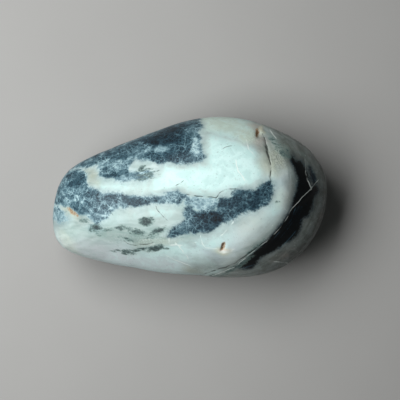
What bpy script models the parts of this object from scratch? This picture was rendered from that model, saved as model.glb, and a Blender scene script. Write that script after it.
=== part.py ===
"""A polished jade cobble: one solid stone, lying on a small flat spot of its broad underside.

X runs along the stone's length, with the blunt end at -X, Y runs across it and Z is up.
The origin is on the surface that the stone rests on, under the middle of its bounding box.
Measures are in millimetres here, and turn into Blender's metres as the mesh is written.
"""

import math

import bmesh
import bpy
import numpy as np
from mathutils import Vector, noise

MM = 0.001

# The worn body
HALF_LENGTH = 75.0
HALF_WIDTH = 42.0
CROWN = 33.5  # height of the top above the widest level
KEEL = 29.5  # depth of the underside below that level
FULLNESS = 2.5  # 2 is an ellipsoid, more has a flatter top and fuller shoulders
CROWN_TAPER = 0.1  # share by which the crown is higher at the broad end and lower at the blunt end
FLAT_SPOT_RISE = 0.8  # how much of the keel the flat spot takes off

# The outline in plan, as X and Y from the middle, anticlockwise from the right end
OUTLINE = (
    (74.8, 4.0), (73.6, 15.6), (68.3, 22.5), (62.2, 29.0), (53.2, 34.6), (41.7, 39.6),
    (30.2, 43.1), (18.6, 44.2), (7.5, 43.7), (-4.5, 41.4), (-17.5, 36.8), (-30.5, 31.8),
    (-43.5, 26.8), (-56.8, 21.1), (-66.0, 15.9), (-71.2, 8.8), (-74.0, 0.0), (-75.3, -9.0),
    (-75.0, -17.5), (-72.0, -26.0), (-63.0, -30.8), (-50.0, -34.1), (-30.5, -37.9), (-11.0, -41.1),
    (6.0, -42.1), (22.0, -43.7), (36.0, -42.7), (47.4, -39.9), (56.4, -34.7), (64.2, -27.1),
    (70.2, -17.6), (74.0, -6.5),
)  # fmt: skip

OUTLINE_STEPS = 720
OUTLINE_BLEND = 2.0  # degrees of turn over which the outline's corners are worn round

# Faces worn flat: bearing in plan and slope in degrees, then distance from the middle
WORN_FACES = (
    (116.0, 50.0, 40.1),
    (82.0, 56.0, 43.1),
    (260.0, 54.0, 40.2),
    (310.0, 44.0, 50.2),
    (345.0, 40.0, 54.9),
    (30.0, 48.0, 58.8),
    (183.0, 46.0, 60.2),
    (150.0, 125.0, 55.7),
    (60.0, 128.0, 48.2),
    (240.0, 130.0, 48.0),
    (340.0, 134.0, 56.9),
)
EDGE_SHARPNESS = 30.0  # how crisply two worn faces meet

# Low swells that the river left
SWELL_HEIGHT = 0.45
SWELL_LENGTH = 34.0

# A healed fracture runs through the stone, and the end beyond it stands a little lower
FRACTURE = (
    (72.0, 36.0), (63.8, 25.8), (62.6, 17.6), (63.6, 10.5), (65.6, 5.0), (60.3, -0.4), (54.8, -5.8),
    (47.8, -17.2), (39.6, -25.0), (30.8, -32.0), (19.8, -38.4), (10.0, -41.8), (-2.0, -46.0),
)  # fmt: skip
FRACTURE_LEAN = (0.14, -0.10)  # how far the fracture moves in plan for each millimetre down
LEDGE_DROP = 0.55
LEDGE_WIDTH = 1.1
SEAM_DEPTH = 0.35
SEAM_WIDTH = 0.8

# An open fissure on the crown: X, Y and half width along it
FISSURE = (
    (39.4, 34.6, 0.2), (40.8, 30.0, 0.35), (41.4, 27.2, 0.55), (42.3, 22.4, 0.45),
    (43.2, 18.6, 0.25), (43.9, 14.4, 0.3), (43.4, 10.4, 0.2),
)  # fmt: skip
FISSURE_DEPTH = 0.4
FISSURE_SLOPE = 0.4  # breadth of the slope on each side

# Open pits on the crown: X, Y, half length, half width, turn in degrees and depth
PITS = (
    (37.1, 34.3, 2.6, 1.1, 84.0, 1.1),
    (17.9, -26.6, 2.6, 0.9, 72.0, 1.0),
    (-64.8, -6.8, 3.2, 1.7, -38.0, 0.6),
)

# The mesh
FACES_ACROSS = 20  # quads along each edge of the cube that the ball is made from
BALL_STRETCH = (1.45, 1.12, 1.0)  # evens out the faces of a ball drawn out into a cobble
FINE_REACH = 2.6  # faces nearer than this to the fracture, fissure or a pit are split
FINE_ROUNDS = 2

JADE_COLOUR = (0.63, 0.74, 0.69, 1.0)
JADE_ROUGHNESS = 0.24


def smooth_step(value, start, end):
    share = np.clip((value - start) / (end - start), 0.0, 1.0)
    return share * share * (3.0 - 2.0 * share)


def ellipse_radius(angles):
    return 1.0 / np.hypot(np.cos(angles) / HALF_LENGTH, np.sin(angles) / HALF_WIDTH)


def outline_ratios():
    """The outline's radius over an ellipse's, at even turns from 0 to a whole circle."""
    points = np.array(OUTLINE)
    angles = np.arctan2(points[:, 1], points[:, 0])
    ratios = np.hypot(points[:, 0], points[:, 1]) / ellipse_radius(angles)
    turns = np.linspace(0.0, math.tau, OUTLINE_STEPS, endpoint=False)
    even = np.interp(turns, angles, ratios, period=math.tau)
    apart = np.minimum(turns, math.tau - turns)
    blend = np.exp(-0.5 * (apart / math.radians(OUTLINE_BLEND)) ** 2)
    worn = np.fft.irfft(np.fft.rfft(even) * np.fft.rfft(blend / blend.sum()), OUTLINE_STEPS)
    return turns, worn


def body_points(directions, outline):
    """Where each direction from the middle meets the worn body, without its fracture and pits."""
    reach = np.hypot(directions[:, 0], directions[:, 1])
    angles = np.arctan2(directions[:, 1], directions[:, 0])
    radius = ellipse_radius(angles) * np.interp(angles, *outline, period=math.tau)
    height = np.where(directions[:, 2] > 0.0, CROWN, KEEL)
    closeness = (reach / radius) ** FULLNESS + (np.abs(directions[:, 2]) / height) ** FULLNESS
    closeness = closeness ** (EDGE_SHARPNESS / FULLNESS)
    for bearing, slope, distance in WORN_FACES:
        turn, tilt = math.radians(bearing), math.radians(slope)
        normal = (math.cos(turn) * math.sin(tilt), math.sin(turn) * math.sin(tilt), math.cos(tilt))
        closeness += np.clip(directions @ normal / distance, 0.0, None) ** EDGE_SHARPNESS
    points = directions / closeness[:, None] ** (1.0 / EDGE_SHARPNESS)
    points[:, 2] += CROWN_TAPER * points[:, 0] / HALF_LENGTH * np.clip(points[:, 2], 0.0, None)
    return points


def swell(point):
    return SWELL_HEIGHT * noise.noise(Vector(point) / SWELL_LENGTH)


def path_distance(points, path, breadths=None):
    """Distance in plan to a path, which side of it the point is on, and the path's breadth there."""
    nearest = np.full(len(points), np.inf)
    side = np.zeros(len(points))
    breadth = np.zeros(len(points))
    for i in range(len(path) - 1):
        start, along = path[i], path[i + 1] - path[i]
        offset = points - start
        share = np.clip(offset @ along / (along @ along), 0.0, 1.0)
        gap = np.hypot(*(offset - share[:, None] * along).T)
        closer = gap < nearest
        nearest[closer] = gap[closer]
        side[closer] = np.sign(along[0] * offset[:, 1] - along[1] * offset[:, 0])[closer]
        if breadths is not None:
            breadth[closer] = (breadths[i] + share * (breadths[i + 1] - breadths[i]))[closer]
    return nearest, side, breadth


def fracture_distance(points):
    """How far each point is beyond the fracture, towards the stone's right end."""
    level = points[:, :2] + np.outer(points[:, 2] - CROWN, FRACTURE_LEAN)
    gap, side, _ = path_distance(level, np.array(FRACTURE))
    return gap * side


def fissure_depth(points):
    path = np.array(FISSURE)
    gap, _, breadth = path_distance(points[:, :2], path[:, :2], path[:, 2])
    return FISSURE_DEPTH * smooth_step(gap, breadth + FISSURE_SLOPE, 0.0)


def pit_offsets(points, pit):
    """A point's place in a pit's own outline, where 1 is its rim."""
    x, y, half_length, half_width, turn, _ = pit
    cosine, sine = math.cos(math.radians(turn)), math.sin(math.radians(turn))
    dx, dy = points[:, 0] - x, points[:, 1] - y
    along, across = dx * cosine + dy * sine, dy * cosine - dx * sine
    return np.hypot(along / half_length, across / half_width)


def hollows(points):
    """How far the fracture, the fissure and the pits take each point down into the stone."""
    beyond = fracture_distance(points)
    depth = LEDGE_DROP * smooth_step(beyond, 0.0, LEDGE_WIDTH)
    depth += SEAM_DEPTH * smooth_step(np.abs(beyond), SEAM_WIDTH, 0.0)
    on_crown = points[:, 2] > 0.0
    depth += np.where(on_crown, fissure_depth(points), 0.0)
    for pit in PITS:
        bowl = pit[-1] * smooth_step(pit_offsets(points, pit), 1.15, 0.2)
        depth += np.where(on_crown, bowl, 0.0)
    return depth


def needs_fine_mesh(points):
    near = np.abs(fracture_distance(points)) < FINE_REACH
    path = np.array(FISSURE)[:, :2]
    gap, _, _ = path_distance(points[:, :2], path)
    on_crown = points[:, 2] > 0.0
    near |= on_crown & (gap < FINE_REACH)
    for x, y, half_length, *_ in PITS:
        near |= on_crown & (np.hypot(points[:, 0] - x, points[:, 1] - y) < half_length + 1.0)
    return near


def directions_of(coordinates):
    drawn_out = coordinates / np.linalg.norm(coordinates, axis=1)[:, None] * BALL_STRETCH
    return drawn_out / np.linalg.norm(drawn_out, axis=1)[:, None]


def ball_mesh(outline):
    """A cube swollen into a ball, with smaller faces where the stone has its fine relief."""
    ball = bmesh.new()
    bmesh.ops.create_cube(ball, size=2.0)
    bmesh.ops.subdivide_edges(ball, edges=ball.edges[:], cuts=FACES_ACROSS - 1, use_grid_fill=True)
    for _ in range(FINE_ROUNDS):
        middles = np.array([face.calc_center_median() for face in ball.faces])
        fine = needs_fine_mesh(body_points(directions_of(middles), outline))
        edges = {edge for face, split in zip(ball.faces, fine) if split for edge in face.edges}
        bmesh.ops.subdivide_edges(ball, edges=list(edges), cuts=1, use_grid_fill=True)
    return ball


def stone_mesh():
    outline = outline_ratios()
    ball = ball_mesh(outline)
    directions = directions_of(np.array([vertex.co for vertex in ball.verts]))
    points = body_points(directions, outline)
    lift = np.array([swell(point) for point in points]) - hollows(points)
    points += directions * lift[:, None]
    for vertex, point in zip(ball.verts, points):
        vertex.co = point
    rest_level = -(KEEL - FLAT_SPOT_RISE)
    cut_flat_spot(ball, rest_level)
    centre_over_origin(ball, rest_level)
    mesh = bpy.data.meshes.new("jade_stone")
    ball.to_mesh(mesh)
    ball.free()
    mesh.shade_smooth()
    return mesh


def cut_flat_spot(ball, level):
    geometry = ball.verts[:] + ball.edges[:] + ball.faces[:]
    cut = bmesh.ops.bisect_plane(
        ball, geom=geometry, plane_co=(0.0, 0.0, level), plane_no=(0.0, 0.0, -1.0), clear_outer=True
    )
    rim = [item for item in cut["geom_cut"] if isinstance(item, bmesh.types.BMEdge)]
    bmesh.ops.edgeloop_fill(ball, edges=rim)
    bmesh.ops.recalc_face_normals(ball, faces=ball.faces[:])


def centre_over_origin(ball, level):
    """Puts the box's middle over the origin and the flat spot on it, and turns millimetres to metres."""
    points = np.array([vertex.co for vertex in ball.verts])
    middle = (points.min(axis=0) + points.max(axis=0)) / 2.0
    shift = Vector((-middle[0], -middle[1], -level))
    for vertex in ball.verts:
        vertex.co = (vertex.co + shift) * MM


def jade_material():
    material = bpy.data.materials.new("jade")
    material.use_nodes = True
    shader = material.node_tree.nodes["Principled BSDF"]
    shader.inputs["Base Color"].default_value = JADE_COLOUR
    shader.inputs["Roughness"].default_value = JADE_ROUGHNESS
    shader.inputs["Metallic"].default_value = 0.0
    return material


def main():
    for obj in list(bpy.data.objects):
        bpy.data.objects.remove(obj, do_unlink=True)
    cobble = bpy.data.collections.new("jade_cobble")
    bpy.context.scene.collection.children.link(cobble)
    stone = bpy.data.objects.new("jade_stone", stone_mesh())
    stone.data.materials.append(jade_material())
    cobble.objects.link(stone)


main()
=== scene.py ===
"""The jade cobble's looks: its worn and polished surface, the stone it is made of, and a plain studio.

Measures are in millimetres in the stone's own frame, and turn into metres as they reach Blender.
The markings are bodies of darker or paler stone. Some of the darker ones, at the broad end, along the
top rim and in the open fissure, are partly painted shade, and the paler ones along the top and bottom
rims are partly painted light. Their outlines are drawn in plan, as X and Y, and lean and drift as they
go down through the stone, so the far side has bands of its own.
"""

import math

import bmesh
import bpy
import numpy as np
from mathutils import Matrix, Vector, noise
from mathutils.bvhtree import BVHTree


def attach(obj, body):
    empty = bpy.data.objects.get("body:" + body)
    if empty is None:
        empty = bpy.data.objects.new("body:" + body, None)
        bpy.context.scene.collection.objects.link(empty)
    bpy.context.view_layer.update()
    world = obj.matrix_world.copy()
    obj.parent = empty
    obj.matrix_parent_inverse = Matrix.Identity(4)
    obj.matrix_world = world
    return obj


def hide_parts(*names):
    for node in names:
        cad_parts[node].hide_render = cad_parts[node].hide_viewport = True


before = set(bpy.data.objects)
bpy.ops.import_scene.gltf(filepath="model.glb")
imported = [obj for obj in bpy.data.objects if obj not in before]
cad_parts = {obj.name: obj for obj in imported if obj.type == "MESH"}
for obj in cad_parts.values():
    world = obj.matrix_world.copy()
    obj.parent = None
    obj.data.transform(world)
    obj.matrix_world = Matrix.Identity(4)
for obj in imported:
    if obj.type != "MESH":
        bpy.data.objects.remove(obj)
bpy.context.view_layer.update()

NODE = "jade_stone"
MM = 0.001

# The fine surface
FACES_ACROSS = 126  # quads along each edge of the cube that the ball is made from
BALL_STRETCH = (1.45, 1.12, 1.0)  # evens out the quads of a ball drawn out into a cobble
SMOOTHING_ROUNDS = 14
SMOOTHING_IN = 0.6
SMOOTHING_OUT = -0.61
FLAT_SPOT_EASE = 2.0  # height over which the fine relief fades in above the flat spot
WAVE_LENGTH = 7.0
WAVE_HEIGHT = 0.06
RIPPLE_LENGTH = WAVE_LENGTH / 3.0
RIPPLE_HEIGHT = 0.4 * WAVE_HEIGHT

# The widest level: above it the markings are as drawn, and depths are measured down from it
WIDEST_LEVEL = 28.7
DRIFT = (0.55, -0.85)  # how far the markings move in plan for each millimetre of depth
WANDER = (  # wave length, sideways reach for each millimetre of depth, and the depth that ends it
    (26.0, 0.6, 30.0),
    (14.0, 1.5, 8.0),
)
FLANK_DEPTHS = (1.0, 8.0)  # over which the flank's own veins and lobes fade in
LOBE_LENGTH = 14.0  # of the lobes that the dark bodies' edges have on the flank
LOBE_REACH = 10.0
CROWN_DEPTHS = (7.0, 1.0)  # over which the small marks fade in towards the crown
CLEARING_DEPTHS = (0.0, 9.0)  # over which the grey broad end, partly painted shade, clears
CLEARED = 0.85  # how much of that grey stone and painted shade clears there

# Edges: the reach outside and inside an outline between which a body fades in
CORE_EDGE = (-1.6, 1.8)
ISLAND_EDGE = (-1.0, 1.2)
WHITE_EDGE = (-5.0, 5.0)
SMOKY_SHADED_EDGE = (-4.0, 4.0)
BLEND_LENGTH = 1.2  # reach over which one dark body's tone gives way to the next one's
BLEND_ENDS = (-30.0, 4.0)  # the reaches outside and inside at which that stops
WOBBLE_LENGTH = 2.6  # wave length of the fine unevenness of edges and lines
SWAY_LENGTH = 7.0  # wave length of the broad one

# Dark stone: each body's outline and how dark it is, from 0, a grey-blue haze, to 1, nearly black
SHOULDER_PATCH = (
    (-66.0, 15.5), (-64.0, 21.0), (-56.0, 27.0), (-44.0, 32.0), (-30.0, 38.0), (-16.0, 44.0),
    (-4.0, 47.0), (4.0, 46.0), (6.0, 41.0), (7.2, 38.5), (5.0, 35.5), (6.2, 32.5), (5.4, 29.5),
    (6.6, 26.0), (7.9, 21.8), (6.6, 20.0), (3.5, 18.2), (-1.0, 18.0), (-6.5, 18.4),
    (-11.0, 19.0), (-16.0, 18.5), (-20.5, 19.5), (-24.0, 20.0), (-29.5, 20.0), (-36.0, 20.0),
    (-42.5, 20.5), (-50.5, 17.5), (-57.5, 15.5),
)
BLUE_LOBE = (
    (-49.5, 20.5), (-45.5, 22.0), (-39.0, 22.5), (-33.5, 21.5), (-29.5, 20.0), (-32.0, 18.0),
    (-33.0, 16.0), (-32.0, 13.5), (-27.0, 13.5), (-23.0, 14.5), (-18.5, 14.0), (-19.5, 11.5),
    (-22.0, 10.0), (-26.0, 8.5), (-31.5, 8.5), (-37.5, 9.0), (-42.5, 11.0), (-48.5, 10.5),
    (-49.5, 14.5),
)
BLUNT_END = (
    (-84.0, -2.0), (-84.0, 6.0), (-76.0, 14.0), (-69.0, 16.5), (-64.5, 15.0), (-58.0, 15.0),
    (-55.8, 12.5), (-55.0, 9.0), (-54.0, 6.0), (-51.5, 4.0), (-48.5, 3.0), (-45.5, 2.0),
    (-42.5, 2.5), (-36.5, -5.0), (-41.0, -7.5), (-46.0, -11.5), (-49.5, -14.0), (-47.5, -17.0),
    (-50.5, -18.5), (-53.5, -17.0), (-52.5, -15.0), (-51.5, -13.0), (-53.0, -11.5), (-55.5, -9.5),
    (-60.0, -8.5), (-64.5, -5.5), (-68.5, -4.5),
)
MIDDLE_STRIPE = (
    (-46.0, 2.0), (-42.5, 2.5), (-37.5, 2.5), (-34.5, 1.0), (-31.0, 1.0), (-27.0, 1.0),
    (-23.0, 0.5), (-18.0, 0.5), (-15.0, 1.0), (-11.0, 2.5), (-8.0, 3.0), (-6.5, 4.0), (-5.0, 2.5),
    (-1.5, 1.5), (-3.5, -1.0), (-5.5, -4.0), (-8.0, -4.0), (-11.0, -2.5), (-15.0, -2.5),
    (-20.0, -3.0), (-23.0, -4.0), (-26.5, -5.0), (-28.5, -5.5), (-33.0, -4.5), (-35.0, -6.0),
    (-37.5, -5.0), (-41.0, -7.5), (-44.5, -5.0),
)
HOOKED_BAND = (
    (-1.8, -4.6), (0.5, -4.0), (3.0, -6.8), (8.0, -7.6), (13.0, -7.0), (14.5, -4.0), (16.0, -1.0),
    (22.5, 0.5), (23.0, 2.0), (25.0, 4.0), (30.5, 4.0), (36.0, 4.0), (38.5, 6.0), (41.5, 9.0),
    (43.5, 8.5), (45.0, 6.0), (45.0, 2.5), (43.5, -1.5), (41.5, -4.0), (37.5, -6.0), (33.0, -7.5),
    (28.0, -8.5), (25.0, -11.0), (21.0, -13.5), (16.5, -14.0), (14.0, -16.5), (10.5, -18.0),
    (7.5, -19.0), (2.0, -19.0), (0.0, -18.0), (-3.0, -20.0), (-6.5, -21.0), (-11.0, -21.0),
    (-11.5, -19.5), (-8.0, -16.0), (-4.4, -14.0), (-1.6, -11.5), (-2.2, -9.0), (-2.2, -6.0),
)
MINT_POOL = (
    (-1.5, 0.5), (4.5, -0.3), (9.5, -0.7), (13.5, -0.9), (15.0, -3.5), (13.0, -6.5), (8.0, -7.4),
    (3.0, -6.4), (0.5, -3.8), (-2.4, -3.6),
)
CRESCENT = (
    (53.5, 22.5), (55.2, 19.5), (56.2, 17.0), (57.8, 13.5), (58.4, 9.0), (57.8, 5.5), (57.0, 1.5),
    (55.4, -4.0), (53.0, -9.0), (50.0, -14.0), (46.0, -18.0), (43.0, -21.5), (39.5, -25.0),
    (36.5, -28.0), (33.5, -31.0), (30.5, -34.0), (25.0, -37.5), (30.5, -38.6), (33.8, -38.0),
    (36.5, -34.8), (39.0, -31.8), (43.0, -29.6), (48.4, -27.0), (53.0, -24.0), (57.3, -20.8),
    (59.5, -17.5), (60.2, -14.0), (61.0, -11.0), (64.0, -9.5), (65.8, -6.5), (66.2, -2.5),
    (68.0, 0.3), (69.3, 3.4), (68.6, 5.6), (65.8, 6.0), (64.8, 3.6), (64.4, 6.6), (63.4, 10.0),
    (63.2, 14.0), (61.5, 17.0), (60.0, 19.0), (57.0, 20.0), (55.4, 22.4),
)
END_SLIVER = (
    (64.5, 17.0), (66.0, 15.0), (68.0, 10.5), (68.0, 7.5), (66.5, 7.5), (65.0, 10.5),
)
CORNER_HAZE = (
    (-79.0, -4.5), (-70.5, -5.0), (-68.0, -8.5), (-66.0, -13.0), (-68.5, -12.0), (-70.5, -13.5),
    (-73.5, -12.0), (-79.0, -12.5),
)
DEEP_BAND = (
    (-62.0, -38.0), (-40.0, -43.5), (-15.0, -47.0), (10.0, -50.5), (30.0, -49.0), (42.0, -46.0),
    (30.0, -54.0), (8.0, -57.0), (-18.0, -54.0), (-42.0, -49.0), (-60.0, -43.0),
)
DEEP_WISP = (
    (20.0, -63.0), (40.0, -60.0), (58.0, -52.0), (66.0, -44.0), (52.0, -50.0), (36.0, -56.0),
    (20.0, -59.0),
)

# Denser dark inside those bodies, and along the top rim partly painted shade: outline and how much
# darker it is
DARK_CORES_AND_RIM_SHADE = (
    (((-20.1, 32.4), (-14.6, 34.6), (-8.0, 36.8), (-0.9, 35.1), (1.3, 31.3), (0.2, 25.8),
      (-2.0, 21.5), (-7.5, 18.7), (-16.2, 19.3), (-22.8, 21.5), (-20.6, 25.8), (-21.7, 29.1)), 0.18),
    (((-41.4, 22.0), (-37.0, 25.8), (-29.9, 29.1), (-23.9, 30.8), (-23.3, 27.5), (-28.2, 25.3),
      (-33.7, 22.6), (-39.2, 20.4)), 0.24),
    (((-49.6, 14.9), (-43.5, 16.0), (-37.5, 13.8), (-38.1, 10.5), (-44.6, 10.0), (-49.0, 11.6)), 0.2),
    (((-66.5, 12.2), (-61.0, 13.8), (-56.7, 11.6), (-55.6, 7.8), (-59.9, 5.1), (-65.4, 6.2),
      (-68.7, 8.4)), 0.24),
    (((-66.5, -1.5), (-59.9, -0.4), (-53.4, 0.7), (-46.8, -1.5), (-49.0, -6.9), (-55.6, -8.0),
      (-62.1, -5.9)), 0.1),
    (((-42.5, 1.8), (-34.8, 2.3), (-32.6, 0.2), (-35.9, -2.0), (-41.4, -0.9)), 0.26),
    (((-33.7, -2.0), (-27.2, -0.9), (-20.6, -2.0), (-21.7, -4.8), (-28.2, -5.3), (-32.6, -4.2)), 0.28),
    (((39.5, 8.4), (43.9, 7.3), (45.0, 2.9), (41.7, -0.4), (36.2, -1.5), (37.3, 4.0)), 0.12),
    (((0.0, -6.6), (8.9, -8.8), (17.6, -4.8), (19.8, -8.0), (12.2, -13.5), (6.0, -16.5),
      (-4.0, -17.0), (1.0, -12.4)), 0.12),
    # Along the top rim: partly denser dark stone, partly painted shade that darkens the rim
    (((-34.0, 28.5), (-22.0, 33.5), (-12.0, 38.5), (-3.0, 41.0), (-1.0, 38.0), (-10.0, 34.0),
      (-20.0, 30.0), (-30.0, 26.5)), 0.2),
    (((41.0, -22.5), (46.0, -19.0), (52.0, -12.0), (57.0, -4.0), (60.0, -8.0), (56.0, -19.0),
      (46.0, -27.0)), 0.1),
    # Along the top rim: partly denser dark stone, partly painted shade that darkens the rim
    (((-28.0, 29.5), (-20.0, 35.0), (-12.0, 39.0), (-3.0, 40.0), (-2.5, 32.0), (-8.0, 28.0),
      (-20.0, 27.5)), 0.3),
    (((26.0, -3.5), (34.0, -0.5), (37.0, 3.0), (38.5, 1.0), (35.0, -6.0), (27.0, -8.0)), 0.14),
    (((-34.0, 12.0), (-33.0, 17.0), (-18.0, 17.0), (-19.0, 12.0), (-28.0, 10.5)), 0.1),
    (((3.0, -8.0), (12.0, -6.5), (19.0, -8.5), (18.0, -14.0), (8.0, -14.5), (3.0, -12.0)), 0.2),
    (((-51.0, 2.5), (-42.0, 2.5), (-34.0, 1.5), (-34.0, -3.5), (-42.0, -5.0), (-50.0, -5.5)), 0.16),
)
DARK_BODIES = (
    (SHOULDER_PATCH, 0.68),
    (BLUE_LOBE, 0.54),
    (BLUNT_END, 0.57),
    (CORNER_HAZE, 0.4),
    (MIDDLE_STRIPE, 0.61),
    (HOOKED_BAND, 0.8),
    (MINT_POOL, 0.27),
    (CRESCENT, 1.25),
    (END_SLIVER, 1.0),
    (DEEP_BAND, 0.7),
    (DEEP_WISP, 0.8),
)

# Paler stone inside the dark: outline and how far it clears the dark
PALE_ISLANDS = (
    (((-56.0, 16.0), (-50.0, 19.0), (-44.0, 21.5), (-36.0, 24.5), (-30.0, 27.5), (-20.6, 28.8),
      (-18.4, 26.4), (-27.2, 22.0), (-38.1, 17.1), (-46.8, 12.2), (-52.3, 11.6)), 0.18),
    (((-66.0, 17.0), (-62.0, 20.5), (-55.0, 22.5), (-50.0, 20.0), (-52.0, 17.0), (-60.0, 15.5)), 0.2),
    (((-19.0, 26.0), (-17.0, 27.5), (-13.0, 27.5), (-10.5, 26.5), (-11.0, 25.0), (-14.5, 24.0),
      (-18.0, 24.0)), 0.95),
    (((2.0, 32.0), (5.0, 32.0), (6.0, 29.0), (5.5, 26.0), (6.0, 23.0), (4.0, 21.5), (2.0, 23.5),
      (1.0, 28.0)), 0.68),
    (((-33.0, 17.0), (-31.0, 18.0), (-27.0, 18.0), (-26.0, 16.5), (-27.0, 14.0), (-31.0, 13.5),
      (-32.5, 15.0)), 0.8),
    (((-16.0, 3.0), (-7.0, 3.0), (-7.0, -3.0), (-12.0, -5.0), (-17.0, -3.0)), 0.3),
    (((-9.0, -18.5), (-3.0, -12.5), (-2.5, -7.0), (1.0, -7.0), (1.5, -16.0), (-3.0, -19.0)), 0.35),
)

# Opaque white stone, whiter than the translucent stone round it, and partly painted light along the
# top and bottom rims: each outline and how white it is
WHITE_CORE = (
    (-20.0, 9.5), (-17.0, 10.5), (-13.5, 16.0), (0.0, 16.0), (9.0, 17.5), (10.0, 23.0),
    (8.5, 30.0), (11.0, 34.0), (18.5, 32.5), (28.5, 30.0), (35.0, 23.5), (38.5, 15.0),
    (37.0, 9.5), (30.0, 5.5), (19.0, 3.0), (5.5, 2.0), (-5.0, 5.0), (-16.0, 2.5), (-20.0, 2.5),
)
CORE_TAIL = (
    (-50.0, 8.0), (-38.0, 9.0), (-27.0, 8.5), (-14.0, 11.0), (-14.0, 2.0), (-27.0, 2.0),
    (-38.0, 3.5), (-48.0, 3.5),
)
WHITE_LENS = (
    (-43.0, -9.0), (-32.0, -6.0), (-19.0, -4.5), (-4.0, -4.0), (-3.5, -9.0), (-9.0, -14.0),
    (-16.0, -14.5), (-30.0, -13.5), (-42.0, -13.5),
)
LENS_HEART = (
    (-24.0, -6.0), (-16.0, -4.5), (-6.0, -4.5), (-4.0, -8.0), (-8.0, -12.0), (-14.0, -13.0),
    (-22.0, -11.0),
)
WHITE_BAND = (
    (-2.0, -24.0), (10.0, -21.0), (24.0, -16.0), (36.0, -10.0), (44.0, -3.0), (47.0, 6.0),
    (51.0, 6.0), (51.0, -4.0), (44.0, -14.0), (32.0, -23.0), (20.0, -29.0), (6.0, -29.0),
)
# Paler stone along the bottom rim, partly painted light there
LOWER_BAND_AND_RIM_LIGHT = (
    (-44.0, -28.5), (-46.0, -34.0), (-36.0, -38.0), (-18.0, -43.0), (0.0, -47.0),
    (16.0, -42.0), (12.0, -33.0), (6.0, -26.0), (-2.0, -25.5), (-14.0, -27.0), (-26.0, -28.5),
)
# Paler stone towards the top rim, partly painted light there
TOP_STRIP_AND_RIM_LIGHT = (
    (6.0, 47.0), (9.0, 36.0), (14.0, 33.0), (22.0, 31.0), (30.0, 29.0), (35.0, 33.0), (34.0, 43.0),
    (20.0, 48.0),
)
WHITE_BODIES_AND_RIM_LIGHT = (
    (WHITE_CORE, 0.9),
    (CORE_TAIL, 0.56),
    (WHITE_LENS, 0.3),
    (LENS_HEART, 0.55),
    (WHITE_BAND, 0.66),
    (LOWER_BAND_AND_RIM_LIGHT, 0.92),
    (TOP_STRIP_AND_RIM_LIGHT, 1.0),
)

# Smoky grey stone beyond the healed fracture, kept darker in part as painted shade of the broad end,
# which turns from the light
SMOKY_SHADED_END = (
    (36.0, 50.0), (43.0, 37.0), (47.5, 28.0), (52.0, 21.0), (55.5, 12.0), (55.5, 2.0), (52.5, -8.0),
    (46.0, -16.0), (38.0, -23.5), (30.0, -30.0), (20.0, -36.5), (6.0, -45.0), (20.0, -64.0),
    (60.0, -64.0), (100.0, -30.0), (100.0, 30.0), (60.0, 60.0),
)

# The crescent shows through the stone beside it, most of all beside its upper part; this darkening is
# also painted shade where the broad end turns from the light
HAZE_AND_SHADE_EDGE = (-5.0, 0.0)
HAZE_AND_SHADE_ENDS = (-16.0, -4.0)  # Y over which the haze, partly painted shade, grows to its full strength
HAZE_AND_SHADE_LEAST = 0.35  # share of the haze and painted shade along the crescent's lower arm

# The flow that the translucent stone's streaks follow: along the stone, and round its broad end
FLOW_CENTRE = (18.0, 8.0)
FLOW_RADIUS = 22.0
SHEET_SHARE = 2.0  # how many times as thick as they are broad the streaks' sheets are

# Small grey-green marks: X, Y, half length, half width and turn in degrees, then strength
SMALL_MARKS = (
    (-23.2, -12.8, 3.6, 2.1, 4.0, 1.0),
    (-56.5, -12.7, 2.6, 1.4, 4.0, 0.75),
    (-50.4, -16.6, 3.2, 2.2, -24.0, 0.95),
    (-25.2, 16.0, 2.4, 0.9, 30.0, 0.7),
    (-36.5, -16.6, 6.5, 0.9, -3.0, 0.7),
    (-36.0, -16.3, 2.4, 1.6, 0.0, 0.6),
    (-28.0, -18.6, 4.4, 2.2, -8.0, 0.65),
    (-17.0, -18.2, 4.6, 1.8, 24.0, 0.75),
    (-13.6, -16.6, 2.6, 1.1, 10.0, 0.55),
    (-33.0, -22.6, 5.6, 1.1, -14.0, 0.5),
    (-44.0, -17.5, 4.0, 0.8, -8.0, 0.5),
    (-48.5, -20.0, 3.0, 0.8, 10.0, 0.35),
    (-33.5, -29.8, 3.8, 1.4, -4.0, 0.75),
    (-39.0, -28.8, 5.0, 0.8, 6.0, 0.5),
    (-27.4, -28.2, 6.6, 1.0, 6.0, 0.75),
    (-18.4, -27.4, 4.4, 1.6, 10.0, 0.95),
    (-12.8, -27.6, 2.4, 0.7, 0.0, 0.6),
    (-22.0, -22.0, 5.0, 0.8, 4.0, 0.4),
    (50.0, 25.0, 5.0, 3.0, -40.0, 0.55),
    (45.0, 30.5, 4.0, 1.8, -50.0, 0.4),
    (47.1, -2.6, 1.8, 0.7, 20.0, 0.5),
    (-21.0, 11.5, 5.6, 1.0, 14.0, 0.5),
    (25.0, -37.5, 9.0, 1.2, 31.0, 0.8),
    (12.0, -43.0, 6.0, 1.0, 20.0, 0.6),
    (-24.0, 14.5, 6.0, 0.6, 12.0, 0.5),
    (-22.5, 12.6, 7.0, 0.6, 14.0, 0.5),
    (-25.0, 9.6, 7.0, 0.6, 8.0, 0.5),
    (35.0, -27.5, 8.0, 1.2, 45.0, 0.5),
)

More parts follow.
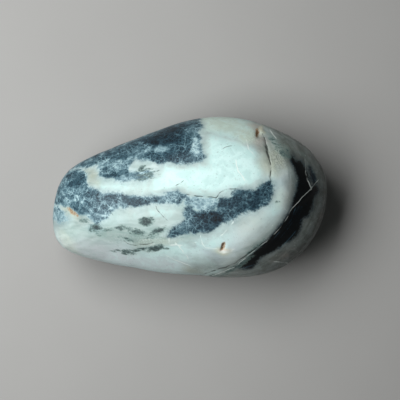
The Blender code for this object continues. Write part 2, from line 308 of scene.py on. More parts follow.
# Washes of colour: X, Y, half length, half width and turn in degrees, then strength
CREAM_WASHES = (
    (-53.0, 11.0, 6.0, 3.6, -55.0, 0.5),
    (-67.2, -6.8, 2.2, 2.6, 0.0, 0.8),
    (-62.2, -9.0, 4.0, 2.0, -30.0, 0.7),
    (39.0, 36.2, 1.4, 3.4, 0.0, 1.0),
    (18.0, -29.2, 4.4, 2.0, -8.0, 0.8),
    (-18.0, -24.0, 12.0, 2.0, 2.0, 0.25),
    (46.0, 20.0, 8.0, 8.0, 0.0, 0.6),
    (50.0, -1.0, 5.0, 5.0, 0.0, 0.3),
    (31.0, 34.0, 7.0, 5.0, 0.0, 0.5),
    (18.0, 40.0, 14.0, 5.0, -8.0, 0.45),
    (33.0, -15.0, 8.0, 4.0, 40.0, 0.2),
    (1.0, -39.5, 5.0, 1.8, -8.0, 0.5),
    (-66.0, -24.0, 8.0, 3.0, -50.0, 0.3),
)
BLUE_WASHES = (
    (-71.0, -10.5, 6.0, 5.0, 60.0, 0.5),
    (5.0, -31.0, 9.0, 7.0, 10.0, 0.45),
    (7.5, -35.0, 4.0, 5.0, 30.0, 0.6),
    (-24.0, -36.5, 16.0, 3.0, -10.0, 0.3),
    (52.0, 2.0, 4.0, 14.0, 0.0, 0.3),
    (31.0, 20.0, 5.0, 9.0, 15.0, 0.35),
    (6.0, -36.0, 9.0, 5.0, 10.0, 0.7),
)
LILAC_WASHES = (
    (-40.0, -31.5, 26.0, 5.0, -14.0, 0.8),
    (-12.0, -37.0, 20.0, 5.0, -6.0, 0.65),
    (30.0, -19.0, 14.0, 5.0, 38.0, 0.6),
    (6.0, -31.0, 10.0, 4.0, 10.0, 0.4),
    (51.0, 4.0, 4.0, 14.0, 0.0, 0.3),
    (24.0, -28.0, 10.0, 4.0, 30.0, 0.5),
    (52.0, -30.0, 12.0, 5.0, 35.0, 0.35),
)
GREEN_WASHES = (
    (6.5, -3.5, 9.0, 4.0, 0.0, 1.0),
    (17.0, 40.5, 12.0, 4.0, -8.0, 0.35),
    (58.0, 26.0, 10.0, 7.0, -35.0, 0.5),
    (-2.0, -22.0, 8.0, 3.0, 12.0, 0.35),
    (-60.0, -21.0, 14.0, 6.0, -20.0, 0.5),
    (-30.0, -20.0, 18.0, 3.8, 0.0, 0.7),
    (-46.0, -19.0, 9.0, 3.6, -10.0, 0.8),
    (-40.0, -10.5, 6.0, 3.0, 30.0, 0.5),
    (-44.0, 6.5, 6.0, 3.0, 0.0, 0.4),
    (-62.0, -13.0, 8.0, 3.0, 0.0, 0.3),
    (-46.0, -14.0, 12.0, 6.0, 0.0, 0.5),
    (-71.0, -11.0, 8.0, 6.0, 0.0, 0.6),
    (-56.0, -10.0, 7.0, 5.0, 0.0, 0.5),
)
PINK_WASHES = (
    (38.5, 29.5, 3.6, 3.6, 0.0, 0.5),
    (50.5, -32.0, 7.0, 2.2, 20.0, 0.7),
    (71.0, -11.0, 2.0, 4.0, -10.0, 0.4),
    (35.5, 38.5, 4.0, 2.0, -20.0, 0.4),
    (18.6, -29.0, 2.4, 1.0, -10.0, 0.8),
)
# Grey washes; those round the broad end and its lower right rim are partly painted shade
SMOKE_AND_SHADE_WASHES = (
    (50.0, 33.0, 7.0, 7.0, -40.0, 0.4),
    (42.0, 38.0, 6.0, 4.0, -30.0, 0.2),
    (54.8, 4.0, 3.2, 13.0, 0.0, 0.85),
    (53.0, 19.0, 3.0, 6.0, 20.0, 0.6),
    (49.5, -13.0, 2.2, 8.0, -38.0, 0.5),
    (25.5, -36.5, 15.0, 4.6, 32.0, 0.95),
    (12.0, -38.0, 14.0, 5.0, 14.0, 0.6),
    (40.0, -17.5, 8.0, 4.0, 45.0, 0.35),
    (41.5, 24.5, 5.0, 8.0, 10.0, 0.72),
    (47.5, 20.0, 5.0, 7.0, 10.0, 0.4),
    (-53.0, 12.0, 7.0, 4.0, -55.0, 0.42),
    (-40.0, -6.5, 9.0, 2.6, 0.0, 0.2),
    (-72.5, -10.0, 6.0, 6.0, 0.0, 0.85),
    (40.0, -20.5, 6.0, 2.6, 40.0, 0.5),
    (41.0, -34.5, 9.0, 6.0, 30.0, 0.95),
    (34.5, -28.0, 7.0, 3.4, 38.0, 0.6),
    (9.0, -37.5, 11.0, 4.5, 10.0, 0.8),
    (-42.0, -19.0, 15.0, 4.0, 0.0, 0.42),
    (-56.0, -10.0, 6.0, 6.0, 0.0, 0.6),
)
CRACKLE_WASHES = (
    (48.0, 21.5, 5.0, 6.0, 10.0, 1.0),
    (51.5, 26.0, 6.0, 3.4, -40.0, 0.8),
    (37.0, 33.0, 5.0, 4.0, 0.0, 0.5),
    (-26.0, -22.5, 14.0, 3.0, 2.0, 0.6),
    (8.0, -39.0, 8.0, 3.0, 10.0, 0.4),
)
RUST_SPOTS = (
    (36.4, 35.0, 2.4, 0.85, 86.0, 1.0),
    (17.9, -26.2, 2.4, 0.9, 72.0, 1.0),
    (-64.2, -6.9, 2.6, 0.8, -32.0, 0.7),
    (-62.0, -9.0, 2.6, 0.8, -24.0, 0.6),
)

# Dark cracks, and along the open fissure partly painted shade inside it: half width, then X and Y
# along each
DARK_CRACKS_AND_FISSURE_SHADE = (
    (0.22, ((-1.5, 1.5), (4.5, 0.6), (9.5, 0.2), (14.2, -0.1), (16.2, 2.4), (19.4, 4.2),
            (25.0, 4.5))),
    (0.18, ((-17.9, -5.0), (-17.4, -6.4), (-16.0, -8.2), (-13.6, -10.7), (-12.2, -12.2))),
    (0.2, ((-35.2, -23.6), (-32.6, -25.3), (-29.4, -25.9), (-26.8, -25.5), (-22.6, -25.1),
           (-19.8, -24.6))),
    (0.16, ((-7.1, 6.3), (-3.2, 8.9))),
    (0.16, ((-25.5, 4.4), (-25.2, 1.7))),
    # These run along the open fissure: dark crack, and partly painted shade inside the fissure
    (0.3, ((43.4, 18.6), (43.9, 14.4), (43.2, 10.8), (43.6, 9.0))),
    (0.24, ((39.6, 34.0), (40.8, 30.2), (41.5, 27.0))),
    (0.55, ((41.4, 27.2), (42.0, 24.0), (42.6, 21.6))),
    (0.3, ((42.6, 21.6), (43.2, 18.6))),
    (0.3, ((40.9, -23.0), (33.0, -29.5), (25.3, -34.8), (19.8, -37.6), (9.4, -41.0), (4.0, -43.5))),
    (0.16, ((-46.0, -2.0), (-41.0, -9.5))),
    (0.14, ((15.5, 24.5), (19.5, 27.0), (22.6, 27.6))),
)

# Pale veins: half width, then X and Y along each
PALE_VEINS = (
    (0.14, ((69.6, 9.4), (66.0, 5.1), (62.3, 1.7), (57.7, -3.3), (54.8, -6.2))),
    (0.14, ((54.8, -6.2), (52.6, -10.8), (48.0, -17.3), (41.0, -23.9), (30.6, -32.1),
            (24.5, -37.5), (12.2, -42.7))),
    (0.2, ((62.6, 22.4), (62.4, 17.0), (62.9, 11.6), (64.4, 7.4), (65.6, 4.4))),
    (0.26, ((24.7, 19.9), (25.8, 14.5), (27.6, 12.2), (29.4, 9.2))),
    (0.3, ((30.6, 30.5), (31.8, 25.8), (35.4, 22.2))),
    (0.2, ((32.4, 15.7), (35.4, 11.6))),
    (0.25, ((43.6, 36.4), (46.6, 31.7))),
    (0.28, ((17.0, -20.4), (20.4, -17.0), (23.5, -13.3))),
    (0.24, ((-11.0, -22.3), (-11.0, -25.5), (-3.8, -25.7), (3.4, -24.2))),
    (0.2, ((-7.3, -24.5), (-4.2, -28.3), (-1.6, -31.5), (0.2, -34.6))),
    (0.2, ((5.9, -20.8), (6.6, -24.5), (8.4, -27.0), (14.7, -27.7))),
    (0.75, ((16.4, -28.8), (19.0, -29.2), (22.4, -28.3))),
    (0.2, ((-14.3, -30.3), (-8.0, -33.6), (-1.8, -36.2), (3.7, -37.8))),
    (0.2, ((45.7, -34.8), (53.2, -35.8))),
)

# How the cracks and veins fade into the stone
LINE_HEART = 0.4  # share of the half width that has the line's full colour
LINE_REACH = (3.4, 2.0)  # half widths from the path over which a line's ends fade in
FAR_AWAY = 10.0  # half widths, well past where a line shows

# Open flaws, as in the solid: the fissure's X, Y and half width along it, and how deep
FISSURE = (
    (39.4, 34.6, 0.1), (40.8, 30.0, 0.25), (41.4, 27.2, 0.5), (42.3, 22.4, 0.4),
    (43.2, 18.6, 0.2), (43.9, 14.4, 0.2), (43.4, 10.4, 0.1),
)
FISSURE_DEPTH = 0.35
FISSURE_SLOPE = 0.35  # breadth of the slope on each side of it

# Pits: X, Y, half length, half width, turn in degrees and depth
PIT_SLOPE = (1.1, 0.3)  # places in a pit's oval, where 1 is its rim, between which it deepens
PIT_RAG = 0.25  # how ragged the rim is
RAG_LENGTH = 1.5  # wave length of that
PITS = (
    (37.1, 34.3, 2.6, 1.1, 84.0, 0.8),
    (17.9, -26.6, 2.6, 0.9, 72.0, 0.8),
    (-64.8, -6.8, 3.2, 1.7, -38.0, 0.3),
    (18.1, -29.4, 0.7, 0.6, 0.0, 0.4),
)

# Raised lips beside two of them: X, Y, half length, half width, turn in degrees and height
LIP_SLOPE = (1.2, 0.2)  # places in a lip's oval between which it rises
LIPS = (
    (39.2, 36.2, 2.8, 1.0, 88.0, 0.35),
    (20.6, -28.6, 2.2, 0.9, 0.0, 0.2),
)

# The studio, with a soft key light from the upper left of the picture
FLOOR_SIZE = 3000.0
KEY_DIRECTION = (-0.5, 0.12, 0.86)
KEY_DISTANCE = 500.0
KEY_LENGTH = 600.0
KEY_BREADTH = 360.0
KEY_WATTS = 4.25
AIR_STRENGTH = 0.04  # light from all round
FLOOR_ROUGHNESS = 0.9
LENS = 250.0
SENSOR = 36.0
PICTURE_PIXELS = 400
PIXEL = 0.5464  # millimetres at the stone's widest level
PHOTO_MIDDLE = (189.7, 197.3)  # the picture's pixel over the middle of the stone

# The polished surface's depths, and what its shader takes
SKIN_DEPTH = 0.012  # of the finest unevenness, which softens the gloss
CRACK_DEPTH = 0.12
POLISH = (
    ("IOR", 1.55),
    ("Specular IOR Level", 0.22),
    ("Subsurface Weight", 0.25),
    ("Subsurface Radius", (0.9, 1.0, 0.95)),
    ("Subsurface Scale", 1.2 * MM),
)

# Tones as a screen shows them: red, green and blue from 0 to 255
CLEAR_STONE = (180, 202, 201)
DULL_STONE = (170, 188, 184)
PALE_STREAK = (202, 218, 216)
DIM_STREAK = (148, 170, 166)
GREEN_TINT = (142, 172, 166)
BLUE_TINT = (152, 180, 194)
LILAC_TINT = (200, 207, 211)
CREAM_TINT = (204, 210, 186)
PINK_TINT = (190, 166, 154)
WHITE_STONE = (206, 236, 233)
WHITE_CLOUD = (192, 224, 221)
FLANK_DRIFT = (130, 153, 147)
FLANK_SEAM = (84, 102, 98)
# The grey broad end's tones, partly painted shade; the third is painted shade towards its far rim
SHADED_THICK_SMOKE = (104, 111, 106)
SHADED_THIN_SMOKE = (132, 140, 136)
PAINTED_RIM_SHADE = (72, 77, 73)
# Haze beside the crescent, partly painted shade where the broad end turns from the light
CRESCENT_HAZE_AND_SHADE = (62, 70, 70)
GREY_GRAIN = (140, 160, 156)
PALE_GRAIN = (226, 238, 232)
CRACKLE_LINE = (96, 104, 94)
VEIN_LINE = (230, 241, 236)
# The dark cracks' tone, partly painted shade where it lies in the open fissure
CRACK_AND_FISSURE_SHADE_LINE = (46, 52, 48)
RUST_HALO = (160, 132, 100)
RUST_HEART = (114, 82, 52)
FLOOR_TONES = ((158, 158, 156), (163, 163, 161))
DARK_RAMP = (  # darkness, from 0, a grey-blue haze, to 1, nearly black, and its tone
    (0.0, (178, 204, 206)),
    (0.22, (142, 172, 180)),
    (0.45, (94, 124, 134)),
    (0.68, (50, 79, 91)),
    (0.86, (22, 43, 55)),
    (1.0, (9, 13, 15)),
)
MARK_RAMP = (  # strength of a small grey-green mark and its tone
    (0.0, (158, 182, 174)),
    (0.4, (104, 130, 126)),
    (0.95, (44, 60, 62)),
)


def smooth_step(value, start, end):
    """0 at the start and 1 at the end, which may lie either way round."""
    share = np.clip((value - start) / (end - start), 0.0, 1.0)
    return share * share * (3.0 - 2.0 * share)


def field(points, length, seed):
    """Smooth noise from about -1 to 1 at every point, with waves of the given length."""
    shift = Vector((seed * 17.3, seed * -9.1, seed * 5.7))
    return np.array([noise.noise(Vector(point) / length + shift) for point in points])


def path_gap(points, path, breadths=None):
    """Distance in plan to a path, the side it lies on and the path's breadth there."""
    path = np.array(path)
    breadths = np.zeros(len(path)) if breadths is None else np.array(breadths)
    nearest = np.full(len(points), np.inf)
    side = np.ones(len(points))
    breadth = np.zeros(len(points))
    for i in range(len(path) - 1):
        start, along = path[i], path[i + 1] - path[i]
        offset = points - start
        share = np.clip(offset @ along / (along @ along), 0.0, 1.0)
        gap = np.hypot(*(offset - share[:, None] * along).T)
        closer = gap < nearest
        nearest[closer] = gap[closer]
        side[closer] = np.where(along[0] * offset[:, 1] < along[1] * offset[:, 0], -1.0, 1.0)[closer]
        breadth[closer] = (breadths[i] + share * (breadths[i + 1] - breadths[i]))[closer]
    return nearest, side, breadth


def outline_reach(points, outline):
    """How deep each point lies inside a closed outline, or, below 0, how far outside it."""
    loop = np.array(outline + outline[:1])
    gap = path_gap(points, loop)[0]
    inside = np.zeros(len(points), dtype=bool)
    for (x1, y1), (x2, y2) in zip(loop[:-1], loop[1:]):
        if y1 == y2:
            continue
        crossing = x1 + (points[:, 1] - y1) * (x2 - x1) / (y2 - y1)
        inside ^= ((y1 > points[:, 1]) != (y2 > points[:, 1])) & (points[:, 0] < crossing)
    return np.where(inside, gap, -gap)


def oval_offsets(points, oval):
    """A point's place in an oval, where 1 is its rim."""
    x, y, half_length, half_width, turn = oval[:5]
    cosine, sine = math.cos(math.radians(turn)), math.sin(math.radians(turn))
    dx, dy = points[:, 0] - x, points[:, 1] - y
    along, across = dx * cosine + dy * sine, dy * cosine - dx * sine
    return np.hypot(along / half_length, across / half_width)


def ball_directions():
    """An even ball of quads: its mesh, and the direction of each of its points."""
    mesh = bpy.data.meshes.new("jade_surface")
    ball = bmesh.new()
    bmesh.ops.create_cube(ball, size=2.0)
    bmesh.ops.subdivide_edges(ball, edges=ball.edges[:], cuts=FACES_ACROSS - 1, use_grid_fill=True)
    ball.to_mesh(mesh)
    ball.free()
    corners = np.empty(len(mesh.vertices) * 3)
    mesh.vertices.foreach_get("co", corners)
    corners = np.tan(corners.reshape(-1, 3) * math.pi / 4.0)
    drawn_out = corners / np.linalg.norm(corners, axis=1)[:, None] * BALL_STRETCH
    return mesh, drawn_out / np.linalg.norm(drawn_out, axis=1)[:, None]


def fit_to_solid(directions):
    """Where rays from the stone's middle meet the solid."""
    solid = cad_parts[NODE]
    tree = BVHTree.FromObject(solid, bpy.context.evaluated_depsgraph_get())
    middle = Vector((0.0, 0.0, WIDEST_LEVEL * MM))
    hits = [tree.ray_cast(middle, Vector(direction))[0] for direction in directions]
    return np.array(hits) / MM


def smoothed(points, mesh):
    """Takes the solid's facets off, and leaves its form."""
    pairs = np.empty(len(mesh.edges) * 2, dtype=np.int32)
    mesh.edges.foreach_get("vertices", pairs)
    pairs = pairs.reshape(-1, 2)
    ends = np.concatenate([pairs[:, 0], pairs[:, 1]])
    others = np.concatenate([pairs[:, 1], pairs[:, 0]])
    count = np.bincount(ends, minlength=len(points))
    for _ in range(SMOOTHING_ROUNDS):
        for share in (SMOOTHING_IN, SMOOTHING_OUT):
            sums = [np.bincount(ends, points[others, axis], len(points)) for axis in range(3)]
            points = points + share * (np.stack(sums, 1) / count[:, None] - points)
    return points


def fine_relief(points):
    """How far each point stands out from the solid's form."""
    on_crown = points[:, 2] > WIDEST_LEVEL
    plan = points[:, :2]
    relief = WAVE_HEIGHT * field(points, WAVE_LENGTH, seed=1)
    relief += RIPPLE_HEIGHT * field(points, RIPPLE_LENGTH, seed=2)
    path = np.array(FISSURE)
    gap, _, breadth = path_gap(plan, path[:, :2], path[:, 2])
    hollow = FISSURE_DEPTH * smooth_step(gap, breadth + FISSURE_SLOPE, 0.0)
    rag = PIT_RAG * field(points, RAG_LENGTH, seed=3)
    for pit in PITS:
        hollow += pit[-1] * smooth_step(oval_offsets(plan, pit) + rag, *PIT_SLOPE)
    for lip in LIPS:
        hollow -= lip[-1] * smooth_step(oval_offsets(plan, lip), *LIP_SLOPE)
    relief -= np.where(on_crown, hollow, 0.0)
    return relief * smooth_step(points[:, 2], 0.0, FLAT_SPOT_EASE)


def drawn_place(points, below):
    """Where each point lies in the plan that the markings are drawn in."""
    plan = points[:, :2] + np.outer(below, DRIFT)
    for length, spread, most in WANDER:
        reach = spread * np.clip(below, 0.0, most)
        plan[:, 0] += reach * field(points, length, seed=4)
        plan[:, 1] += reach * field(points, length, seed=5)
    return plan


def set_values(mesh, name, values):
    """Keeps a number for each point, which the material reads by its name."""
    attribute = mesh.attributes.new(name, "FLOAT", "POINT")
    attribute.data.foreach_set("value", values.astype(np.float32))


def dark_fields(plan):
    """How deep each point is in the dark bodies, and how dark the stone is there."""
    edge = np.full(len(plan), -np.inf)
    weights = np.zeros(len(plan))
    depth = np.zeros(len(plan))
    for outline, darkness in DARK_BODIES:
        reach = outline_reach(plan, outline)
        edge = np.maximum(edge, reach)
        weight = np.exp(np.clip(reach, *BLEND_ENDS) / BLEND_LENGTH)
        weights += weight
        depth += weight * darkness
    return edge, depth / weights


def body_field(plan, bodies, edge):
    """The strength of the strongest body at each point."""
    total = np.zeros(len(plan))
    for outline, strength in bodies:
        reach = outline_reach(plan, outline)
        total = np.maximum(total, strength * smooth_step(reach, *edge))
    return total


def flow_fields(plan):
    """Distance along and across streaks that run along the stone and turn round its broad end."""
    dx, dy = plan[:, 0] - FLOW_CENTRE[0], plan[:, 1] - FLOW_CENTRE[1]
    turn = np.arctan2(dy, np.clip(dx, 0.0, None)) * FLOW_RADIUS
    along = turn + np.sign(dy) * np.clip(-dx, 0.0, None)
    return along, np.hypot(np.clip(dx, 0.0, None), dy)


def oval_field(plan, ovals, softness):
    """The strength of the strongest oval at each point, fading out round its rim."""
    total = np.zeros(len(plan))
    for oval in ovals:
        inside = smooth_step(oval_offsets(plan, oval), 1.0 + softness, 1.0 - softness)
        total = np.maximum(total, oval[-1] * inside)
    return total


def line_fields(plan, lines):
    """Signed and plain distance to the nearest line, both over that line's half width."""
    nearest = np.full(len(plan), np.inf)
    side = np.ones(len(plan))
    for half_width, path in lines:
        gap, which, _ = path_gap(plan, path)
        gap = gap / half_width
        closer = gap < nearest
        nearest[closer] = gap[closer]
        side[closer] = which[closer]
    return nearest * side, nearest


def add_fields(mesh, points):
    """Gives the mesh's points all that the material reads."""
    below = np.clip(WIDEST_LEVEL - points[:, 2], 0.0, None)
    on_crown = smooth_step(below, *CROWN_DEPTHS)
    on_flank = smooth_step(below, *FLANK_DEPTHS)
    clearing = smooth_step(below, *CLEARING_DEPTHS)
    plan = drawn_place(points, below)
    wobble = np.stack([field(points, WOBBLE_LENGTH, seed) for seed in (6, 7)], 1)
    sway = np.stack([field(points, SWAY_LENGTH, seed) for seed in (8, 9)], 1)

    def uneven(broad, fine):
        """The plan with the unevenness that natural edges have."""
        return plan + broad * sway + fine * wobble

    edge, depth = dark_fields(uneven(broad=0.7, fine=0.4))
    # Denser dark stone, and painted shade along the top rim
    cores_and_rim_shade = body_field(uneven(broad=0.7, fine=0.6), DARK_CORES_AND_RIM_SHADE, CORE_EDGE)
    islands = body_field(uneven(broad=0.0, fine=0.8), PALE_ISLANDS, ISLAND_EDGE)
    # White stone, with painted light along the top and bottom rims
    white_and_rim_light = body_field(uneven(broad=1.2, fine=0.5), WHITE_BODIES_AND_RIM_LIGHT, WHITE_EDGE)
    set_values(mesh, "flank", on_flank)
    lobes = LOBE_REACH * on_flank * field(points, LOBE_LENGTH, seed=12)
    set_values(mesh, "dark_edge", edge + lobes)
    set_values(mesh, "dark_depth", depth + cores_and_rim_shade)
    set_values(mesh, "island", islands)
    set_values(mesh, "white_and_rim_light", white_and_rim_light)

    # The grey broad end, partly painted shade, with painted shade deepening towards its far rim
    smoke_and_shade = outline_reach(uneven(broad=1.5, fine=0.0), SMOKY_SHADED_END)
    set_values(mesh, "rim_shade_depth", smoke_and_shade * (1.0 - clearing))
    set_values(mesh, "smoky_shaded_end", smooth_step(smoke_and_shade, *SMOKY_SHADED_EDGE) * (1.0 - CLEARED * clearing))
    # Haze beside the crescent, partly painted shade
    haze = smooth_step(outline_reach(uneven(broad=0.8, fine=0.0), CRESCENT), *HAZE_AND_SHADE_EDGE)
    haze *= HAZE_AND_SHADE_LEAST + (1.0 - HAZE_AND_SHADE_LEAST) * smooth_step(plan[:, 1], *HAZE_AND_SHADE_ENDS)
    set_values(mesh, "crescent_haze_and_shade", haze)
    along, across = flow_fields(plan)
    set_values(mesh, "flow_along", along)
    set_values(mesh, "flow_across", across)

    marks = oval_field(uneven(broad=0.3, fine=0.7), SMALL_MARKS, softness=0.9)
    set_values(mesh, "small_mark", marks * on_crown)
    rust = oval_field(uneven(broad=0.0, fine=0.5), RUST_SPOTS, softness=0.45)
    set_values(mesh, "rust", rust * on_crown)
    loose = uneven(broad=1.6, fine=0.6)
    for name, ovals, softness, extent in (
        ("cream", CREAM_WASHES, 0.6, on_crown),
        ("blue", BLUE_WASHES, 0.9, 1.0),
        ("green", GREEN_WASHES, 0.9, 1.0),
        ("pink", PINK_WASHES, 0.8, 1.0),
        ("lilac", LILAC_WASHES, 0.9, 1.0),
        ("smoke_and_shade_wash", SMOKE_AND_SHADE_WASHES, 0.9, 1.0),
        ("crackle", CRACKLE_WASHES, 0.7, on_crown),
    ):
        set_values(mesh, name, oval_field(loose, ovals, softness) * extent)

    near_lines = uneven(broad=0.0, fine=0.35)
    for name, lines in (("crack", DARK_CRACKS_AND_FISSURE_SHADE), ("vein", PALE_VEINS)):
        side, far = line_fields(near_lines, lines)
        set_values(mesh, name + "_side", side)
        set_values(mesh, name + "_far", far + FAR_AWAY * (1.0 - on_crown))


def stone_surface():
    """The stone's fine mesh: the solid's form without its facets, and the relief on it."""
    mesh, directions = ball_directions()
    points = smoothed(fit_to_solid(directions), mesh)
    mesh.vertices.foreach_set("co", (points * MM).ravel())
    mesh.update()
    normals = np.empty(len(points) * 3)
    mesh.vertex_normals.foreach_get("vector", normals)
    points = points + normals.reshape(-1, 3) * fine_relief(points)[:, None]
    points[:, 2] = np.clip(points[:, 2], 0.0, None)
    mesh.vertices.foreach_set("co", (points * MM).ravel())
    mesh.update()
    mesh.shade_smooth()
    add_fields(mesh, points)
    stone = bpy.data.objects.new("jade_surface", mesh)
    bpy.context.scene.collection.objects.link(stone)
    return stone


class Graph:
    """Adds nodes to a material, each taking sockets or plain numbers."""

    def __init__(self, material):
        material.use_nodes = True
        self.tree = material.node_tree
        self.shader = self.tree.nodes["Principled BSDF"]

    def join(self, socket, value):
        """Links a socket to another's output, or sets it to a number or colour."""
        if isinstance(value, bpy.types.NodeSocket):
            self.tree.links.new(value, socket)
        elif value is not None:
            socket.default_value = value

    def value(self, name):
        """The number that set_values kept on the mesh."""
        node = self.tree.nodes.new("ShaderNodeAttribute")
        node.attribute_name = name
        return node.outputs["Fac"]

    def place(self, stretch=(1.0, 1.0, 1.0)):
        """The stone's own millimetres, drawn out along any axis whose stretch is under 1."""
        node = self.tree.nodes.new("ShaderNodeMapping")
        coordinates = self.tree.nodes.new("ShaderNodeTexCoord")
        self.join(node.inputs["Vector"], coordinates.outputs["Object"])
        node.inputs["Scale"].default_value = [share / MM for share in stretch]
        return node.outputs["Vector"]

    def clouds(self, length, detail=3.0, roughness=0.5, stretch=(1.0, 1.0, 1.0), warp=0.0):
        """Noise from 0 to 1 with patches of the given length."""
        node = self.tree.nodes.new("ShaderNodeTexNoise")
        self.join(node.inputs["Vector"], self.place(stretch))
        node.inputs["Scale"].default_value = 1.0 / length
        node.inputs["Detail"].default_value = detail
        node.inputs["Roughness"].default_value = roughness
        node.inputs["Distortion"].default_value = warp
        return node.outputs["Fac"]

    def streaks(self, length, breadth, detail=4.0, warp=0.6):
        """Noise drawn out along the stone's flow."""
        joined = self.tree.nodes.new("ShaderNodeCombineXYZ")
        self.join(joined.inputs["X"], self.math("DIVIDE", self.value("flow_along"), length))
        self.join(joined.inputs["Y"], self.math("DIVIDE", self.value("flow_across"), breadth))
        level = self.tree.nodes.new("ShaderNodeSeparateXYZ")
        self.join(level.inputs["Vector"], self.place())
        self.join(joined.inputs["Z"], self.math("DIVIDE", level.outputs["Z"], breadth * SHEET_SHARE))
        node = self.tree.nodes.new("ShaderNodeTexNoise")
        self.join(node.inputs["Vector"], joined.outputs["Vector"])
        node.inputs["Scale"].default_value = 1.0
        node.inputs["Detail"].default_value = detail
        node.inputs["Distortion"].default_value = warp
        return node.outputs["Fac"]

    def net(self, length, sway):
        """Distance to the threads of a crooked net, over the net's mesh length."""
        drift = self.tree.nodes.new("ShaderNodeTexNoise")
        self.join(drift.inputs["Vector"], self.place())
        drift.inputs["Scale"].default_value = 1.0 / length
        drift.inputs["Detail"].default_value = 3.0
        moved = self.tree.nodes.new("ShaderNodeVectorMath")
        moved.operation = "MULTIPLY_ADD"
        self.join(moved.inputs[0], drift.outputs["Color"])
        moved.inputs[1].default_value = (sway, sway, sway)
        self.join(moved.inputs[2], self.place())
        node = self.tree.nodes.new("ShaderNodeTexVoronoi")
        node.feature = "DISTANCE_TO_EDGE"
        self.join(node.inputs["Vector"], moved.outputs["Vector"])
        node.inputs["Scale"].default_value = 1.0 / length
        return node.outputs["Distance"]

    def math(self, operation, first, second=None, third=None):
        node = self.tree.nodes.new("ShaderNodeMath")
        node.operation = operation
        for socket, value in zip(node.inputs, (first, second, third)):
            self.join(socket, value)
        return node.outputs[0]

    def times(self, first, second):
        return self.math("MULTIPLY", first, second)

    def centred(self, value, gain):
        """Noise about its middle of 0.5, made stronger or weaker."""
        return self.times(self.math("SUBTRACT", value, 0.5), gain)

    def ease(self, value, start, end, low=0.0, high=1.0):
        """Goes smoothly from low to high as the value goes from start to end."""
        node = self.tree.nodes.new("ShaderNodeMapRange")
        node.interpolation_type = "SMOOTHSTEP"
        names = ("Value", "From Min", "From Max", "To Min", "To Max")
        for name, item in zip(names, (value, start, end, low, high)):
            self.join(node.inputs[name], item)
        return node.outputs["Result"]

    def mix(self, share, first, second):
        """From the first colour to the second, each a socket or a tone."""
        node = self.tree.nodes.new("ShaderNodeMix")
        node.data_type = "RGBA"
        self.join(node.inputs["Factor"], share)
        first_colour, second_colour = (item for item in node.inputs if item.type == "RGBA")
        for socket, colour in ((first_colour, first), (second_colour, second)):
            self.join(socket, linear(colour) if isinstance(colour, tuple) else colour)
        return next(item for item in node.outputs if item.type == "RGBA")

    def ramp(self, value, stops):
        """The tone that the value falls on between the stops."""
        node = self.tree.nodes.new("ShaderNodeValToRGB")
        self.join(node.inputs["Fac"], value)
        for place, _ in stops[2:]:
            node.color_ramp.elements.new(place)
        for element, (place, tone) in zip(node.color_ramp.elements, stops):
            element.position = place
            element.color = linear(tone)
        return node.outputs["Color"]

    def bump(self, height, depth, normal=None):
        """Tilts the normal as a surface of the given depth in millimetres would."""
        node = self.tree.nodes.new("ShaderNodeBump")
        self.join(node.inputs["Height"], height)
        self.join(node.inputs["Normal"], normal)
        node.inputs["Distance"].default_value = depth * MM
        return node.outputs["Normal"]


def linear(tone):
    """A tone as the linear colour that a shader takes, by the screen's standard curve."""
    parts = [part / 255.0 for part in tone]
    curve = [part / 12.92 if part <= 0.04045 else ((part + 0.055) / 1.055) ** 2.4 for part in parts]
    return (*curve, 1.0)


def broken_line(graph, name, softness, length):
    """A line of line_fields that fades in and out along its way."""
    across = graph.math("ABSOLUTE", graph.value(name + "_side"))
    on_line = graph.ease(across, 1.0 + softness, LINE_HEART)
    near = graph.ease(graph.value(name + "_far"), *LINE_REACH)
    unbroken = graph.ease(graph.clouds(length, detail=2.0), 0.34, 0.58)
    return graph.times(graph.times(on_line, near), unbroken)


